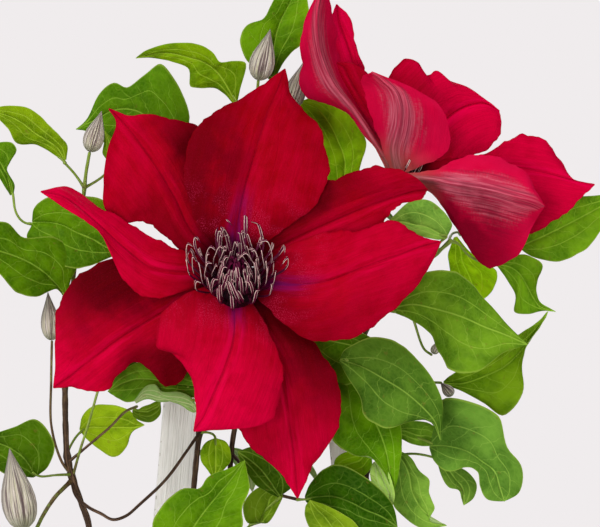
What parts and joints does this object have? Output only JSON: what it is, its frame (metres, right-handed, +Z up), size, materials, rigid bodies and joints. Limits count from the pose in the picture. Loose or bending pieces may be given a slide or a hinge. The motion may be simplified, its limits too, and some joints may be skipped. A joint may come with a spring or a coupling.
{
  "type": "flowering climber in a pot",
  "caption": "Clematis with large crimson open blooms, silver-green buds and netted green leaves, climbing a white wooden ladder trellis that stands in a plain round pot of soil.",
  "frame": {"origin": "middle of the pot's flat base, on the floor", "axes": "+Z up; -Y is the front, where the open bloom looks; +X is to the right of someone facing the front"},
  "size_m": [0.268, 0.198, 0.4611],
  "materials": {
    "terracotta": "matte fired clay",
    "soil": "matte, crumbly",
    "lath": "worn white paint",
    "stem": "brown bark, green on young growth",
    "tepal": "satin, finely grooved lengthwise",
    "stamen": "matte, edged with cream pollen sacs",
    "bud": "downy",
    "leaf": "satin, with netted veins"
  },
  "bodies": {
    "root": {"bloom_1_stamens": "stamen", "bloom_1_tepals": "tepal", "bloom_2_stamens": "stamen", "bloom_2_tepals": "tepal", "bud_1": "bud", "bud_2": "bud", "bud_3": "bud", "bud_4": "bud", "bud_5": "bud", "bud_6": "bud", "bud_7": "bud", "leaf_back_right": "leaf", "leaf_behind_bloom": "leaf", "leaf_dark_pair": "leaf", "leaf_dark_right": "leaf", "leaf_front_low": "leaf", "leaf_hidden_left": "leaf", "leaf_high_left": "leaf", "leaf_large_right": "leaf", "leaf_left": "leaf", "leaf_left_pair": "leaf", "leaf_low_left": "leaf", "leaf_notch": "leaf", "leaf_olive": "leaf", "leaf_pale_left": "leaf", "leaf_right_lobed": "leaf", "leaf_right_low": "leaf", "leaf_right_middle": "leaf", "leaf_right_of_top": "leaf", "leaf_right_pair": "leaf", "leaf_shaded": "leaf", "leaf_small_high": "leaf", "leaf_top": "leaf", "leaf_top_left": "leaf", "leaf_twig_end": "leaf", "leaf_under_bloom": "leaf", "leaf_under_shaded": "leaf", "pot": "terracotta", "soil": "soil", "spray_back_1": "leaf", "spray_back_3": "leaf", "spray_back_4": "leaf", "spray_back_5": "leaf", "spray_back_6": "leaf", "spray_foot_1": "leaf", "spray_foot_3": "leaf", "spray_foot_4": "leaf", "spray_foot_5": "leaf", "spray_foot_6": "leaf", "trellis_rung_1": "lath", "trellis_rung_2": "lath", "trellis_rung_3": "lath", "trellis_rung_4": "lath", "trellis_upright_left": "lath", "trellis_upright_right": "lath", "vine_inner": "stem", "vine_left": "stem", "vine_middle": "stem", "vine_right": "stem"}
  },
  "joints": []
}
